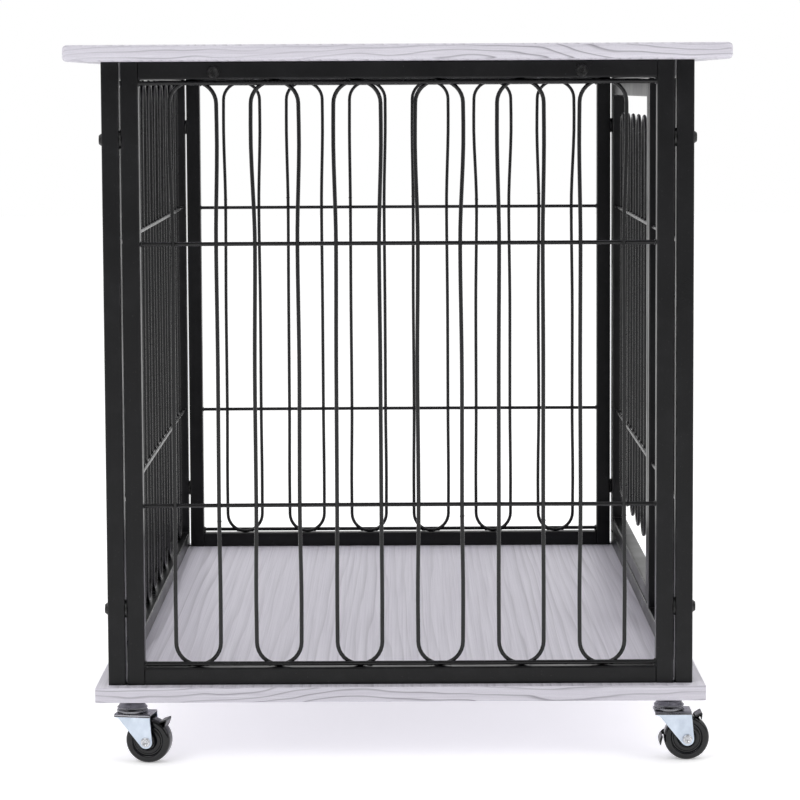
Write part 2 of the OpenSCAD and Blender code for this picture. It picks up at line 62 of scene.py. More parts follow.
post_low, post_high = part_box("front_end_posts")
TUBE = post_high.y - post_low.y
FRAME_Z = post_low.z
PANEL_H = post_high.z - post_low.z
PANEL_Y = -(post_low.y + post_high.y) / 2
END_POST_X = post_high.x - TUBE / 2
PANEL_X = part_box("door_side_rails")[1].x - TUBE / 2
END_OPEN = size("front_end_rails").x
SIDE_OPEN = size("back_side_rails").y
WIRE_R = size("front_end_loops").y / 2
ROD_R = size("front_end_rods").y / 2
ROD_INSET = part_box("front_end_rods")[0].z + ROD_R - FRAME_Z
ROD_OUT = middle("front_end_rods").y + PANEL_Y
CROSS_IN = middle("front_end_cross_wires").y + PANEL_Y
CROSS_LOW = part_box("front_end_cross_wires")[0].z + WIRE_R - FRAME_Z
CROSS_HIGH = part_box("front_end_cross_wires")[1].z - WIRE_R - FRAME_Z
LOOP_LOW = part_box("front_end_loops")[0].z - FRAME_Z
LOOP_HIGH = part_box("front_end_loops")[1].z - FRAME_Z
BAY_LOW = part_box("door_side_rods")[0].y
BAY_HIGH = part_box("door_side_rods")[1].y
DOOR_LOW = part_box("door_stiles")[0].y
DOOR_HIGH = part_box("door_stiles")[1].y
DOOR_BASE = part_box("door_stiles")[0].z - FRAME_Z
DOOR_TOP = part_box("door_stiles")[1].z - FRAME_Z
DOOR_LOOP_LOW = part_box("door_loops")[0].z - FRAME_Z
DOOR_LOOP_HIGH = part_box("door_loops")[1].z - FRAME_Z

LOOP_W = 44 * MM
EDGE_GAP_SHARE = 0.86
END_LOOPS = 6
BACK_LOOPS = 11
BAY_LOOPS = 4
DOOR_LOOPS = 6


def new_object(name, data):
    """Makes an object and links it into the scene."""
    made = bpy.data.objects.new(name, data)
    bpy.context.scene.collection.objects.link(made)
    return made


# ---- camera ----

CAMERA_PLACE = (0.0023, -3.3453, 0.6628)
CAMERA_DOWN = 0.0863    # radians, as is the roll
CAMERA_ROLL = 0.0048


def make_camera():
    camera = new_object("camera", bpy.data.cameras.new("camera"))
    camera.data.sensor_width = 36
    camera.data.lens = 134.3
    camera.data.shift_y = -0.07
    camera.data.clip_end = 40
    camera.location = CAMERA_PLACE
    camera.rotation_euler = (math.pi / 2 - CAMERA_DOWN, CAMERA_ROLL, 0)
    bpy.context.scene.camera = camera


make_camera()

# ---- shape building ----

LATHE_TIP = 1e-5    # the radius that stands for 0, so that no ring shrinks to a point


class Shape:
    """Points and faces gathered for one piece. Each face has a material number, and each point
    an edge value from 0 on a flat to 1 on a worn corner."""

    def __init__(self):
        self.points = []
        self.faces = []
        self.slots = []
        self.edge = []

    def add_points(self, points, edge=0.0):
        start = len(self.points)
        self.points += [Vector(p) for p in points]
        self.edge += list(edge) if isinstance(edge, (list, tuple)) else [edge] * len(points)
        return start

    def add_face(self, corners, slot=0):
        self.faces.append(corners)
        self.slots.append(slot)

    def skin(self, rings, closed=False, caps=True, slot=0, edge=0.0):
        """Joins rings of equally many points, end to end."""
        n = len(rings[0])
        starts = [self.add_points(ring, edge) for ring in rings]
        pairs = list(zip(starts, starts[1:]))
        if closed:
            pairs.append((starts[-1], starts[0]))
        for a, b in pairs:
            for i in range(n):
                j = (i + 1) % n
                self.add_face((a + i, a + j, b + j, b + i), slot)
        if caps and not closed:
            self.add_face(tuple(starts[0] + i for i in reversed(range(n))), slot)
            self.add_face(tuple(starts[-1] + i for i in range(n)), slot)

    def wire(self, path, radius, up, closed=False, sides=12, slot=0):
        """A round wire along a path that lies in the plane square to up."""
        rings = []
        last = len(path) - 1
        for i, p in enumerate(path):
            before = path[i - 1] if i or closed else p
            after = path[(i + 1) % len(path)] if i < last or closed else p
            along = (after - before).normalized()
            side = along.cross(up).normalized()
            over = side.cross(along)
            r = radius(i) if callable(radius) else radius
            rings.append([
                p + side * (r * math.cos(t)) + over * (r * math.sin(t)) for t in turns(sides)
            ])
        self.skin(rings, closed=closed, slot=slot)

    def bead(self, centre, radii, rough=0.12, slot=0, rings=5, sides=9):
        """A lump of weld: a ball drawn out to three radii, and made a little uneven."""
        stack = []
        for i in range(1, rings):
            a = math.pi * i / rings - math.pi / 2
            ring = []
            for t in turns(sides):
                k = 1 + random.uniform(-rough, rough)
                unit = Vector((math.cos(a) * math.cos(t), math.cos(a) * math.sin(t), math.sin(a))) * k
                drawn = Vector((unit.x * radii[0], unit.y * radii[1], unit.z * radii[2]))
                ring.append(centre + drawn)
            stack.append(ring)
        self.skin(stack, slot=slot)

    def square_tube(self, start, end, width, across, radius=1.7 * MM, slot=0):
        """A square tube with rounded corners, from start to end; across is one side's direction."""
        along = (end - start).normalized()
        other = along.cross(across)
        half = width / 2
        chamfer = 0.5 * MM

        def ring(centre, shrink):
            out = []
            for sx, sy, begin in ((1, 1, 0), (-1, 1, 90), (-1, -1, 180), (1, -1, 270)):
                for k in range(5):
                    t = math.radians(begin + 22.5 * k)
                    x = sx * (half - radius) + (radius - shrink) * math.cos(t)
                    y = sy * (half - radius) + (radius - shrink) * math.sin(t)
                    out.append(centre + across * x + other * y)
            return out

        worn = [0.15, 0.7, 1.0, 0.7, 0.15] * 4
        rings = [
            ring(start, chamfer), ring(start + along * chamfer, 0),
            ring(end - along * chamfer, 0), ring(end, chamfer),
        ]
        self.skin(rings, slot=slot, edge=worn)

    def lathe(self, centre, axis, profile, sides=48, slot=0, edge=0.0):
        """Turns (radius, height) points about an axis through centre."""
        axis = axis.normalized()
        side = axis.orthogonal().normalized()
        other = axis.cross(side)
        rings = [
            [
                centre + axis * h + (side * math.cos(t) + other * math.sin(t)) * max(r, LATHE_TIP)
                for t in turns(sides)
            ]
            for r, h in profile
        ]
        self.skin(rings, slot=slot, edge=edge)

    def plate(self, outline, place, thickness, slot=0):
        """A flat plate: an outline of (u, v) points, carried by place(u, v, w) for w from 0 to its
        thickness."""
        low = self.add_points([place(u, v, 0) for u, v in outline])
        high = self.add_points([place(u, v, thickness) for u, v in outline])
        n = len(outline)
        self.add_face(tuple(low + i for i in reversed(range(n))), slot)
        self.add_face(tuple(high + i for i in range(n)), slot)
        for i in range(n):
            j = (i + 1) % n
            self.add_face((low + i, low + j, high + j, high + i), slot)

    def build(
        self, name, materials, body, replaced=(), slot=None, matrix=None, sharp=35, bevel=0.0, flat=False
    ):
        """Makes the piece, rides it on its body and hides the CAD nodes it stands for."""
        mesh = bpy.data.meshes.new(name)
        mesh.from_pydata([tuple(matrix @ p if matrix else p) for p in self.points], [], self.faces)
        for face, number in zip(mesh.polygons, self.slots):
            face.material_index = number
        for material in materials:
            mesh.materials.append(material)
        wear = mesh.attributes.new("edge", "FLOAT", "POINT")
        wear.data.foreach_set("value", self.edge)
        piece = new_object(name, mesh)
        tidy_normals(mesh)
        finish_piece(piece, sharp, bevel, flat)
        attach(piece, body)
        if replaced:
            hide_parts(*replaced)
        return piece


def turns(sides):
    return [2 * math.pi * k / sides for k in range(sides)]


def tidy_normals(mesh):
    work = bmesh.new()
    work.from_mesh(mesh)
    bmesh.ops.recalc_face_normals(work, faces=work.faces)
    work.to_mesh(mesh)
    work.free()


def add_bevel(piece, width, sharp):
    modifier = piece.modifiers.new("bevel", "BEVEL")
    modifier.width = width
    modifier.segments = 2
    modifier.limit_method = "ANGLE"
    modifier.angle_limit = math.radians(sharp)


def keep_flats_flat(piece):
    piece.modifiers.new("flats", "WEIGHTED_NORMAL").keep_sharp = True


def finish_piece(piece, sharp=35, bevel=0.0, flat=False):
    """Smooth shading that stays crisp at corners, with an optional small bevel."""
    if bevel:
        add_bevel(piece, bevel, sharp)
    piece.data.shade_smooth()
    if not bevel:
        piece.data.set_sharp_from_angle(angle=math.radians(sharp))
    if flat or bevel:
        keep_flats_flat(piece)


# ---- materials ----

MIX_A, MIX_B, MIX_RESULT = 6, 7, 2    # a Mix node's sockets when it mixes colours


class Look:
    """A procedural material under construction."""

    def __init__(self, name, color, roughness, metallic=0.0, specular=0.5):
        self.material = bpy.data.materials.new(name)
        self.material.use_nodes = True
        self.tree = self.material.node_tree
        self.shader = self.tree.nodes["Principled BSDF"]
        self.shader.inputs["Base Color"].default_value = (*color, 1)
        self.shader.inputs["Roughness"].default_value = roughness
        self.shader.inputs["Metallic"].default_value = metallic
        self.shader.inputs["Specular IOR Level"].default_value = specular
        self.material.diffuse_color = (*color, 1)
        place = self.node("ShaderNodeTexCoord")
        self.place = place.outputs["Object"]

    def node(self, kind):
        return self.tree.nodes.new(kind)

    def link(self, output, target):
        self.tree.links.new(output, target)

    def mapped(self, scale, source=None):
        mapping = self.node("ShaderNodeMapping")
        mapping.inputs["Scale"].default_value = scale
        self.link(source or self.place, mapping.inputs["Vector"])
        return mapping.outputs["Vector"]

    def noise(self, scale, detail=3.0, rough=0.55, source=None):
        texture = self.node("ShaderNodeTexNoise")
        texture.inputs["Scale"].default_value = 1.0
        texture.inputs["Detail"].default_value = detail
        texture.inputs["Roughness"].default_value = rough
        self.link(self.mapped(scale, source), texture.inputs["Vector"])
        return texture.outputs["Fac"]

    def ramp(self, value, low, high, start=0.0, end=1.0):
        """value from low to high becomes start to end, held at the ends."""
        node = self.node("ShaderNodeMapRange")
        node.inputs["From Min"].default_value = low
        node.inputs["From Max"].default_value = high
        node.inputs["To Min"].default_value = start
        node.inputs["To Max"].default_value = end
        self.link(value, node.inputs["Value"])
        return node.outputs["Result"]

    def maths(self, operation, a, b=None):
        node = self.node("ShaderNodeMath")
        node.operation = operation
        for socket, value in zip(node.inputs, (a, b)):
            if value is None:
                continue
            if isinstance(value, (int, float)):
                socket.default_value = value
            else:
                self.link(value, socket)
        return node.outputs["Value"]

    def mix(self, factor, a, b):
        node = self.node("ShaderNodeMix")
        node.data_type = "RGBA"
        self.link(factor, node.inputs["Factor"])
        for socket, value in ((node.inputs[MIX_A], a), (node.inputs[MIX_B], b)):
            if isinstance(value, tuple):
                socket.default_value = (*value, 1)
            else:
                self.link(value, socket)
        return node.outputs[MIX_RESULT]

    def bump(self, height, strength, distance):
        node = self.node("ShaderNodeBump")
        node.inputs["Strength"].default_value = strength
        node.inputs["Distance"].default_value = distance
        self.link(height, node.inputs["Height"])
        self.link(node.outputs["Normal"], self.shader.inputs["Normal"])

    def set_color(self, output):
        self.link(output, self.shader.inputs["Base Color"])

    def set_roughness(self, output):
        self.link(output, self.shader.inputs["Roughness"])


def laminate(name, along, pitch, change, bend, light, strength, start):
    """Pale grey wood-grain foil. along is the axis of the grain, pitch the lines in a metre across
    it, change how fast they alter along it, bend how far they stray in lines, light the foil's
    brightness, strength how dark the lines are and start the share of a line's pitch that stays
    clear before it, so a high start draws it thin."""
    look = Look(name, (0.68 * light, 0.66 * light, 0.73 * light), 0.45, specular=0.4)

    def stretched(across, lengthwise):
        return (lengthwise, across, across) if along == "X" else (across, lengthwise, across)

    def tone(*color):
        return tuple(light * part for part in color)

    split = look.node("ShaderNodeSeparateXYZ")
    look.link(look.place, split.inputs["Vector"])
    across = look.maths("ADD", split.outputs["Y" if along == "X" else "X"], split.outputs["Z"])
    drift = look.noise(stretched(9, 0.9 * change), detail=2, rough=0.45)
    sway = look.noise(stretched(38, 2.6 * change), detail=2, rough=0.5)
    rings = look.maths("MULTIPLY", across, pitch)
    rings = look.maths("ADD", rings, look.maths("MULTIPLY", drift, bend))
    rings = look.maths("ADD", rings, look.maths("MULTIPLY", sway, 0.3 * bend))
    wave = look.maths("FRACT", rings)
    line = look.maths("MULTIPLY", look.ramp(wave, start, 0.88), look.ramp(wave, 0.9, 1.0, 1.0, 0.0))
    fade = look.ramp(look.noise(stretched(22, 1.2 * change)), 0.34, 0.6, 0.2, 1.0)
    line = look.maths("MULTIPLY", look.maths("POWER", line, 1.7), fade)
    fibre = look.noise(stretched(1100, 7 * change), detail=4, rough=0.7)
    strand = look.noise(stretched(260, 1.6 * change), detail=3, rough=0.6)
    pores = look.noise((1400, 1400, 1400), detail=1, rough=0.5)
    pale = look.mix(look.ramp(strand, 0.3, 0.75), tone(0.725, 0.705, 0.775), tone(0.615, 0.595, 0.66))
    pale = look.mix(look.ramp(fibre, 0.45, 0.75, 0, 0.45), pale, tone(0.43, 0.41, 0.47))
    pale = look.mix(look.ramp(pores, 0.5, 0.7, 0, 0.3), pale, tone(0.40, 0.38, 0.44))
    look.set_color(look.mix(look.maths("MULTIPLY", line, strength), pale, tone(0.2, 0.19, 0.22)))
    look.set_roughness(look.ramp(fibre, 0.3, 0.7, 0.36, 0.52))
    height = look.maths("SUBTRACT", look.maths("MULTIPLY", fibre, 0.5), line)
    look.bump(height, 0.25, 0.12 * MM)
    return look.material


def powder_coat(name, roughness, specular, relief):
    """Satin black powder coat: a fine orange peel, dust specks and corners rubbed a little paler."""
    look = Look(name, (0.005, 0.005, 0.006), roughness, specular=specular)
    peel = look.noise((1100, 1100, 1100), detail=2, rough=0.5)
    broad = look.noise((14, 14, 14), detail=3)
    specks = look.ramp(look.noise((620, 620, 620), detail=1), 0.70, 0.80)
    rub = look.node("ShaderNodeAttribute")
    rub.attribute_name = "edge"
    patches = look.ramp(look.noise((45, 45, 45), detail=4, rough=0.65), 0.48, 0.68)
    rubbed = look.maths("MULTIPLY", rub.outputs["Fac"], patches)
    coat = look.mix(look.ramp(broad, 0.3, 0.7), (0.0035, 0.0035, 0.0042), (0.0065, 0.0065, 0.0075))
    coat = look.mix(look.maths("MULTIPLY", rubbed, 0.55), coat, (0.035, 0.035, 0.038))
    look.set_color(look.mix(look.maths("MULTIPLY", specks, 0.3), coat, (0.07, 0.07, 0.07)))
    rough = look.ramp(broad, 0.3, 0.7, roughness - 0.05, roughness + 0.05)
    look.set_roughness(look.maths("SUBTRACT", rough, look.maths("MULTIPLY", rubbed, 0.1)))
    look.bump(peel, relief, 0.08 * MM)
    return look.material


def black_oxide():
    """Bolt heads: near black, smoother than the powder coat, with bare glints at worn spots."""
    look = Look("black_oxide", (0.012, 0.012, 0.012), 0.3, metallic=0.35, specular=0.5)
    grime = look.noise((300, 300, 300), detail=4, rough=0.6)
    look.set_color(look.mix(look.ramp(grime, 0.45, 0.75), (0.009, 0.009, 0.009), (0.05, 0.05, 0.05)))
    look.set_roughness(look.ramp(grime, 0.3, 0.7, 0.24, 0.42))
    look.bump(grime, 0.15, 0.05 * MM)
    return look.material


def zinc(name, color, dark, roughness):
    """Bright zinc plate: cool, clouded, with fine rolling marks."""
    look = Look(name, color, roughness, metallic=1.0)
    cloud = look.noise((90, 90, 60), detail=4, rough=0.6)
    marks = look.noise((260, 260, 2600), detail=2, rough=0.6)
    look.set_color(look.mix(look.ramp(cloud, 0.35, 0.7), color, dark))
    look.set_roughness(look.ramp(cloud, 0.3, 0.7, roughness - 0.07, roughness + 0.1))
    look.bump(marks, 0.1, 0.05 * MM)
    return look.material


def glossy_black(name, roughness):
    """Polished black polymer or enamel with hairline scuffs."""
    black = (0.003, 0.003, 0.004)
    look = Look(name, black, roughness, specular=0.45)
    scuff = look.noise((500, 500, 500), detail=5, rough=0.7)
    haze = look.noise((60, 60, 60), detail=3)
    look.set_color(look.mix(look.ramp(scuff, 0.62, 0.78, 0, 0.6), black, (0.022, 0.022, 0.026)))
    look.set_roughness(look.ramp(haze, 0.3, 0.7, roughness - 0.05, roughness + 0.12))
    look.bump(scuff, 0.06, 0.04 * MM)
    return look.material


def dark_race_and_crown_painted_reflection():
    """Dark plated pressing for the races, and on the fork crown's bend a painted dark reflection: smoky
    metal, softly clouded.
    """
    look = Look("dark_race_and_crown_painted_reflection", (0.20, 0.20, 0.22), 0.26, metallic=0.9)
    cloud = look.noise((70, 70, 70), detail=3, rough=0.5)
    look.set_color(look.mix(look.ramp(cloud, 0.35, 0.7), (0.17, 0.17, 0.185), (0.30, 0.30, 0.32)))
    look.set_roughness(look.ramp(cloud, 0.3, 0.7, 0.2, 0.38))
    look.bump(cloud, 0.08, 0.06 * MM)
    return look.material


FACE_GRAIN = dict(pitch=85, change=0.6, bend=6, start=0.35)
EDGE_GRAIN = dict(pitch=150, change=3.4, bend=10, start=0.62)
TABLE_FACE = laminate("laminate_table", "Y", light=0.96, strength=0.4, **FACE_GRAIN)
# The floor's copy of the laminate is paler than the table's (light 1.16 against 0.96): painted light,
# standing in for the light and reflection on the crate's floor in the shade under the top.
FLOOR_FACE_PAINTED_LIGHT = laminate("laminate_floor_painted_light", "Y", light=1.16, strength=0.34, **FACE_GRAIN)
EDGE_ALONG_X = laminate("laminate_edge_end", "X", light=1.0, strength=0.8, **EDGE_GRAIN)
EDGE_ALONG_Y = laminate("laminate_edge_side", "Y", light=1.0, strength=0.8, **EDGE_GRAIN)
COAT = powder_coat("powder_coat_black", roughness=0.32, specular=0.25, relief=0.16)
WIRE_COAT = powder_coat("powder_coat_wire", roughness=0.26, specular=0.38, relief=0.05)
OXIDE = black_oxide()
FORK_ZINC = zinc("zinc_fork", (0.68, 0.75, 0.85), (0.56, 0.63, 0.73), roughness=0.34)
HARDWARE_ZINC = zinc("zinc_hardware", (0.74, 0.75, 0.77), (0.52, 0.53, 0.56), roughness=0.24)
LATCH_STEEL = zinc("latch_steel", (0.66, 0.66, 0.67), (0.50, 0.50, 0.51), roughness=0.3)
WHEEL = glossy_black("wheel_polymer", roughness=0.12)
BRAKE = glossy_black("brake_enamel", roughness=0.26)
RACE_AND_CROWN_PAINTED_REFLECTION = dark_race_and_crown_painted_reflection()

# ---- boards ----

FACE_UPRIGHT = 0.72    # a facet whose normal's z passes this is part of a face, the rest are edge


def make_board(name, node, face_material, rounding, segments):
    """A laminate board: bevelled all round, its grain along Y on the faces and along each edge."""
    low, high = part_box(node)
    work = bmesh.new()
    bmesh.ops.create_cube(work, size=1)
    span = high - low
    centre = (low + high) / 2
    for vert in work.verts:
        vert.co = Vector(vert.co[i] * span[i] + centre[i] for i in range(3))
    bmesh.ops.bevel(
        work, geom=work.edges[:], offset=rounding, segments=segments, profile=0.5, affect="EDGES"
    )
    mesh = bpy.data.meshes.new(name)
    work.to_mesh(mesh)
    work.free()
    for material in (face_material, EDGE_ALONG_X, EDGE_ALONG_Y):
        mesh.materials.append(material)
    for face in mesh.polygons:
        n = face.normal
        if abs(n.z) > FACE_UPRIGHT:
            face.material_index = 0
        else:
            face.material_index = 1 if abs(n.y) > abs(n.x) else 2
    piece = new_object(name, mesh)
    finish_piece(piece, 60, flat=True)
    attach(piece, "root")
    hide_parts(node)


make_board("top_board_laminate", "top_board", TABLE_FACE, rounding=4.5 * MM, segments=6)
make_board("base_board_laminate", "base_board", FLOOR_FACE_PAINTED_LIGHT, rounding=0.7 * MM, segments=2)

# ---- panels, each built in its own frame: X along it, -Y out of the crate, Z up ----

X, Y, Z = Vector((1, 0, 0)), Vector((0, 1, 0)), Vector((0, 0, 1))
PLACES = {
    "front_end": Matrix.Translation((0, -PANEL_Y, FRAME_Z)),
    "rear_end": Matrix.Translation((0, PANEL_Y, FRAME_Z)) @ Matrix.Rotation(math.pi, 4, "Z"),
    "back_side": Matrix.Translation((-PANEL_X, 0, FRAME_Z)) @ Matrix.Rotation(-math.pi / 2, 4, "Z"),
    "door_side": Matrix.Translation((PANEL_X, 0, FRAME_Z)) @ Matrix.Rotation(math.pi / 2, 4, "Z"),
}


LEG_STEPS = 26
BEND_STEPS = 16

# radii of the weld lumps: along the panel, out of it and upwards
BUTT_WELD = (WIRE_R * 1.22, WIRE_R * 1.22, 1.7 * MM)
CROSS_SPOT = (2.3 * MM, 1.5 * MM, 2.3 * MM)
CROSS_END = (2.2 * MM, 3.1 * MM, 3.0 * MM)
ROD_SPOT = (2.6 * MM, 1.6 * MM, 2.0 * MM)
ROD_END = (2.6 * MM, 3.2 * MM, 3.4 * MM)
RAIL_TACK = (3.2 * MM, 1.7 * MM, 1.6 * MM)


def ease(t):
    return t * t * (3 - 2 * t)


def profile_at(knots, z):
    """A smooth value at z through (height, value) knots."""
    for (z0, v0), (z1, v1) in zip(knots, knots[1:]):
        if z <= z1:
            return v0 + (v1 - v0) * ease(max(0.0, (z - z0) / (z1 - z0)))
    return knots[-1][1]


def bent_loop(centre, low, high):
    """The path of one wire loop, bent by hand: a little wider at its shoulders, pinched at the
    cross wires, and leaning slightly. Returns the path and a function for its legs."""
    base_r = LOOP_W / 2
    z_low = low + WIRE_R + base_r
    z_high = high - WIRE_R - base_r
    vary = [random.uniform(0.5, 1.5) for _ in range(3)]
    lean = random.uniform(-0.6, 0.6) * MM
    width = [
        (z_low, 0.0),
        (z_low + 45 * MM, 0.2 * MM * vary[0]),
        (CROSS_LOW, -0.5 * MM * vary[0]),
        ((CROSS_LOW + CROSS_HIGH) / 2, -0.3 * MM * vary[1]),
        (CROSS_HIGH, -1.1 * MM * vary[2]),
        (z_high - 30 * MM, 1.2 * MM * vary[2]),
        (z_high, 0.9 * MM * vary[2]),
    ]
    sway = [(z_low, 0.0), (CROSS_LOW, lean * 0.4), (CROSS_HIGH, -lean * 0.5), (z_high, lean)]

    def leg(side, z):
        return centre + profile_at(sway, z) + side * (base_r + profile_at(width, z))

    def straight(side, start, end):
        for k in range(LEG_STEPS + 1):
            z = start + (end - start) * k / LEG_STEPS
            path.append(Vector((leg(side, z), 0, z)))

    def bend(z, begin):
        middle_x = (leg(1, z) + leg(-1, z)) / 2
        r = (leg(1, z) - leg(-1, z)) / 2
        for k in range(1, BEND_STEPS):
            t = begin + math.pi * k / BEND_STEPS
            path.append(Vector((middle_x + r * math.cos(t), 0, z + base_r * math.sin(t))))

    path = []
    straight(1, z_low, z_high)
    bend(z_high, 0)
    straight(-1, z_high, z_low)
    bend(z_low, math.pi)
    return path, leg


def loop_centres(open_low, open_high, count):
    gap = (open_high - open_low - count * LOOP_W) / (count - 1 + 2 * EDGE_GAP_SHARE)
    first = open_low + gap * EDGE_GAP_SHARE + LOOP_W / 2
    return [first + k * (gap + LOOP_W) for k in range(count)]


def build_wires(shape, name, made, node, body, place):
    """One piece of a panel's wires. made and node end the names of the piece and of its CAD node."""
    shape.build(name + made, [WIRE_COAT], body, [name + node], "black_frame", place, sharp=60)


def build_loops(name, place, body, centres, low, high, joint_height, joint_side):
    """One panel's loops with the butt weld on a leg of each; returns the legs for the weld spots."""
    shape = Shape()
    legs = []
    for centre in centres:
        path, leg = bent_loop(centre, low, high)
        shape.wire(path, WIRE_R, Y, closed=True)
        z = joint_height + random.uniform(-4, 4) * MM
        shape.bead(Vector((leg(joint_side, z), 0, z)), BUTT_WELD, rough=0.08)
        legs.append(leg)
    build_wires(shape, name, "_wire_loops", "_loops", body, place)
    return legs


def build_cross_wires(name, place, body, low, high, legs):
    """The two cross wires, with a spot weld where each crosses a leg and a blob at each end."""
    shape = Shape()
    for z in (CROSS_LOW, CROSS_HIGH):
        bow = random.uniform(-0.4, 0.4) * MM
        steps = 24
        path = []
        for k in range(steps + 1):
            t = k / steps
            path.append(Vector((low + (high - low) * t, CROSS_IN, z + bow * math.sin(math.pi * t))))
        shape.wire(path, WIRE_R, Y)
        for leg in legs:
            for side in (-1, 1):
                spot = Vector((leg(side, z), CROSS_IN / 2, z + random.uniform(-0.2, 0.2) * MM))
                shape.bead(spot, CROSS_SPOT)
        for end in (low, high):
            shape.bead(Vector((end, CROSS_IN, z)), CROSS_END, rough=0.2)
    build_wires(shape, name, "_cross_wire_welded", "_cross_wires", body, place)


def build_rods(name, place, body, low, high, centres):
    """The rods behind the loop ends, spot welded to the loops and tacked to the rails."""
    shape = Shape()
    for z, rail in ((ROD_INSET, TUBE), (PANEL_H - ROD_INSET, PANEL_H - TUBE)):
        steps = 20
        bow = random.uniform(-0.35, 0.35) * MM
        path = [
            Vector((low + (high - low) * k / steps, ROD_OUT, z + bow * math.sin(math.pi * k / steps)))
            for k in range(steps + 1)
        ]
        shape.wire(path, ROD_R, Y)
        for centre in centres:
            for side in (-1, 1):
                spot_z = z + math.copysign(1.2 * MM, rail - z)
                shape.bead(Vector((centre + side * 9 * MM, ROD_OUT / 2, spot_z)), ROD_SPOT)
        for end in (low, high):
            shape.bead(Vector((end, ROD_OUT, z)), ROD_END, rough=0.22)
        for tack in (-0.06, 0.07):
            x = (low + high) / 2 + tack * (high - low)
            shape.bead(Vector((x, ROD_OUT, (z + rail) / 2)), RAIL_TACK, rough=0.2)
    build_wires(shape, name, "_rods_tacked", "_rods", body, place)


def corner_seam(shape, x, z, turn_x, turn_z):
    """The weld bead in the inner corner of two tubes, across their depth."""
    r = 1.5 * MM
    steps = 9
    path = []
    for k in range(steps + 1):
        depth = -TUBE / 2 + 1.4 * MM + (TUBE - 2.8 * MM) * k / steps
        path.append(Vector((x + turn_x * 0.5 * MM, depth, z + turn_z * 0.5 * MM)))
    uneven = [r * random.uniform(0.8, 1.15) for _ in path]
    shape.wire(path, lambda i: uneven[i], Z, sides=8)


def build_frame(name, place, body, posts, post_span, rails, rail_span, post_node, rail_node):
    """Posts and rails of one welded frame. posts holds the posts' middles and rails the rails'
    undersides; each span is from low to high."""
    uprights = Shape()
    for x in posts:
        uprights.square_tube(Vector((x, 0, post_span[0])), Vector((x, 0, post_span[1])), TUBE, X)
    uprights.build(
        name + "_post_tubes", [COAT], body, [post_node], "black_frame", place, sharp=50, flat=True
    )
    across = Shape()
    for z in rails:
        start = Vector((rail_span[0], 0, z + TUBE / 2))
        across.square_tube(start, Vector((rail_span[1], 0, z + TUBE / 2)), TUBE, Y)
    for x, turn_x in ((rail_span[0], 1), (rail_span[1], -1)):
        corner_seam(across, x, rails[0] + TUBE, turn_x, 1)
        corner_seam(across, x, rails[1], turn_x, -1)
    across.build(
        name + "_rail_tubes", [COAT], body, [rail_node], "black_frame", place, sharp=50, flat=True
    )


def build_end(name, joint_height):
    place = PLACES[name]
    half = END_OPEN / 2
    centres = loop_centres(-half, half, END_LOOPS)
    build_frame(
        name, place, "root", (-END_POST_X, END_POST_X), (0, PANEL_H), (0, PANEL_H - TUBE), (-half, half),
        name + "_posts", name + "_rails",
    )
    legs = build_loops(name, place, "root", centres, LOOP_LOW, LOOP_HIGH, joint_height, 1)
    build_cross_wires(name, place, "root", -half, half, legs)
    build_rods(name, place, "root", -half, half, centres)


def build_side(name, posts, bay_low, bay_high, count, joint_height):
    place = PLACES[name]
    half = SIDE_OPEN / 2
    centres = loop_centres(bay_low, bay_high, count)
    build_frame(
        name, place, "root", (-PANEL_Y, PANEL_Y), (0, PANEL_H), (0, PANEL_H - TUBE), (-half, half),
        name + "_posts", name + "_rails",
    )
    if posts:
        middle_post = Shape()
        for x in posts:
            middle_post.square_tube(Vector((x, 0, TUBE)), Vector((x, 0, PANEL_H - TUBE)), TUBE, X)
            for side in (-1, 1):
                corner_seam(middle_post, x + side * TUBE / 2, TUBE, side, 1)
                corner_seam(middle_post, x + side * TUBE / 2, PANEL_H - TUBE, side, -1)
        middle_post.build(
            name + "_middle_post_tube", [COAT], "root", slot="black_frame", matrix=place, sharp=50, flat=True
        )
    legs = build_loops(name, place, "root", centres, LOOP_LOW, LOOP_HIGH, joint_height, 1)
    build_cross_wires(name, place, "root", bay_low, bay_high, legs)
    build_rods(name, place, "root", bay_low, bay_high, centres)


def build_door():
    place = PLACES["door_side"]
    open_low, open_high = DOOR_LOW + TUBE, DOOR_HIGH - TUBE
    build_frame(
        "door", place, "door", (DOOR_LOW + TUBE / 2, DOOR_HIGH - TUBE / 2), (DOOR_BASE, DOOR_TOP),
        (DOOR_BASE, DOOR_TOP - TUBE), (open_low, open_high), "door_stiles", "door_rails",
    )
    centres = loop_centres(open_low, open_high, DOOR_LOOPS)
    legs = build_loops(
        "door", place, "door", centres, DOOR_LOOP_LOW, DOOR_LOOP_HIGH, joint_height=PANEL_H - 78 * MM,
        joint_side=-1,
    )
    build_cross_wires("door", place, "door", open_low, open_high, legs)


build_end("front_end", joint_height=162 * MM)
build_end("rear_end", joint_height=446 * MM)
build_side("back_side", (), -SIDE_OPEN / 2, SIDE_OPEN / 2, BACK_LOOPS, joint_height=300 * MM)
build_side("door_side", (BAY_HIGH + TUBE / 2,), BAY_LOW, BAY_HIGH, BAY_LOOPS, joint_height=240 * MM)
build_door()

# ---- fittings that keep their CAD shape ----


def dress(node, material, bevel, sharp=35):
    """Gives a node's own CAD mesh a material, with its edges bevelled."""
    piece = nodes[node]
    piece.data.materials.clear()
    piece.data.materials.append(material)
    weld = piece.modifiers.new("weld", "WELD")
    weld.merge_threshold = 0.01 * MM
    add_bevel(piece, bevel, sharp)
    piece.data.shade_smooth()
    keep_flats_flat(piece)


